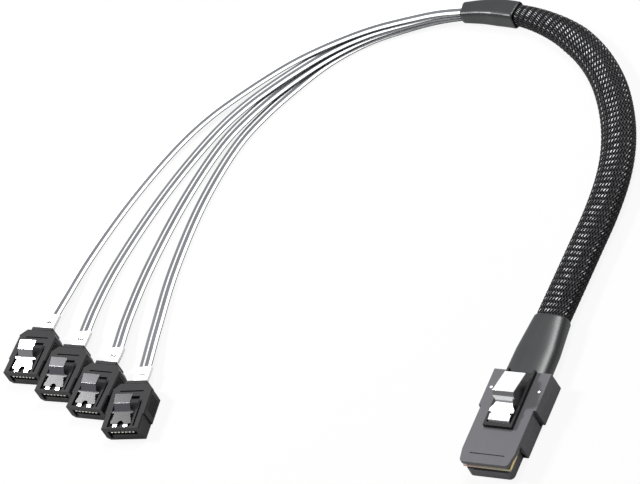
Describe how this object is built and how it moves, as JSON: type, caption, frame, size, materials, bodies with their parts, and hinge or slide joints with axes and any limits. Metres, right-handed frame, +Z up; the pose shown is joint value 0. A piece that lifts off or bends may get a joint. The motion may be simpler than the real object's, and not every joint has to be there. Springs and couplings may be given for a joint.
{
  "type": "data breakout cable",
  "caption": "Braided data cable with a wide latching plug at one end, split by a heat-shrink breakout into flat silver ribbons that end in small latching connectors.",
  "frame": {"origin": "on the wide plug's underside, on its centre line, below the shoulder where the nose meets the body", "axes": "+Z up from the surface the cable lies on, -Y out of the wide plug's nose, +X to the plug's right seen from behind it"},
  "size_m": [0.1938, 0.1806, 0.013],
  "materials": {
    "shell_grey": "mid-dark grey moulded shell",
    "connector_black": "black moulded plastic with a low sheen",
    "spring_steel": "bright pressed spring steel",
    "circuit_card": "glass-fibre board with gilt pads",
    "filler": "dark moulded filler, hidden inside the plug",
    "contacts": "bright plated contacts",
    "heat_shrink": "satin black heat-shrink tube",
    "braid": "black braided sleeve",
    "ribbon_foil": "silver-white flat twin cable",
    "label": "white label wrapped round the ribbon"
  },
  "bodies": {
    "cable": {"plug_upper_shell": "shell_grey", "plug_lower_shell": "shell_grey", "paddle_card": "circuit_card", "wire_block": "filler", "plug_pin_left": "spring_steel", "plug_pin_right": "spring_steel", "plug_boot": "heat_shrink", "braided_sleeve": "braid", "breakout_shrink": "heat_shrink", "drive_housing_1": "connector_black", "drive_contacts_1": "contacts", "drive_tail_1": "connector_black", "ribbon_1": "ribbon_foil", "label_1": "label", "drive_housing_2": "connector_black", "drive_contacts_2": "contacts", "drive_tail_2": "connector_black", "ribbon_2": "ribbon_foil", "label_2": "label", "drive_housing_3": "connector_black", "drive_contacts_3": "contacts", "drive_tail_3": "connector_black", "ribbon_3": "ribbon_foil", "label_3": "label", "drive_housing_4": "connector_black", "drive_contacts_4": "contacts", "drive_tail_4": "connector_black", "ribbon_4": "ribbon_foil", "label_4": "label"},
    "wide_latch": {"plug_latch": "spring_steel"},
    "small_latch_1": {"drive_latch_1": "spring_steel"},
    "small_latch_2": {"drive_latch_2": "spring_steel"},
    "small_latch_3": {"drive_latch_3": "spring_steel"},
    "small_latch_4": {"drive_latch_4": "spring_steel"}
  },
  "joints": [
    {"name": "wide_latch_press", "type": "hinge", "parent": "cable", "child": "wide_latch", "pos_m": [0, 0.0058, 0.0072], "axis": [1, 0, 0], "range_deg": [-6, 0], "stiffness_Nm_per_rad": 0.3},
    {"name": "small_latch_press_1", "type": "hinge", "parent": "cable", "child": "small_latch_1", "pos_m": [-0.12982, -0.00915, 0.0051], "axis": [0.9893, 0.1461, 0], "range_deg": [-6, 0], "stiffness_Nm_per_rad": 0.15},
    {"name": "small_latch_press_2", "type": "hinge", "parent": "cable", "child": "small_latch_2", "pos_m": [-0.14651, -0.00326, 0.0051], "axis": [0.9998, 0.0175, 0], "range_deg": [-6, 0], "stiffness_Nm_per_rad": 0.15},
    {"name": "small_latch_press_3", "type": "hinge", "parent": "cable", "child": "small_latch_3", "pos_m": [-0.16133, 0.00163, 0.0051], "axis": [0.9992, 0.0401, 0], "range_deg": [-6, 0], "stiffness_Nm_per_rad": 0.15},
    {"name": "small_latch_press_4", "type": "hinge", "parent": "cable", "child": "small_latch_4", "pos_m": [-0.17643, 0.00693, 0.0051], "axis": [0.9992, 0.0401, 0], "range_deg": [-6, 0], "stiffness_Nm_per_rad": 0.15}
  ]
}
